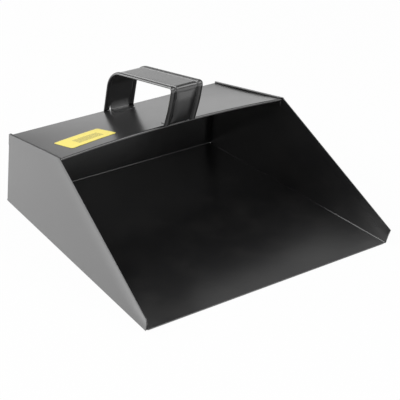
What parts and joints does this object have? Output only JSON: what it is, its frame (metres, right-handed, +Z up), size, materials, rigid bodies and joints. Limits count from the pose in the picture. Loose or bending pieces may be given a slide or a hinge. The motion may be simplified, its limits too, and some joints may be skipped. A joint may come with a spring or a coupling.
{
  "type": "hooded dustpan",
  "caption": "Folded sheet-metal dustpan with a tapered floor, sloping sides, a hood over the back half and a strap handle on the hood, for holding swept-up dirt.",
  "frame": {"origin": "middle of the bottom of the object's box, on the surface that the pan rests on", "axes": "+Z up, -Y out of the mouth, +X to the right seen from the mouth looking in"},
  "size_m": [0.31, 0.3294, 0.1699],
  "materials": {
    "black_paint": "semi-gloss black stoved paint",
    "label_film": "satin yellow sticker"
  },
  "bodies": {
    "root": {"floor_sheet": "black_paint", "back_panel": "black_paint", "left_side_panel": "black_paint", "right_side_panel": "black_paint", "hood_sheet": "black_paint", "handle_strap": "black_paint", "label": "label_film"}
  },
  "joints": []
}
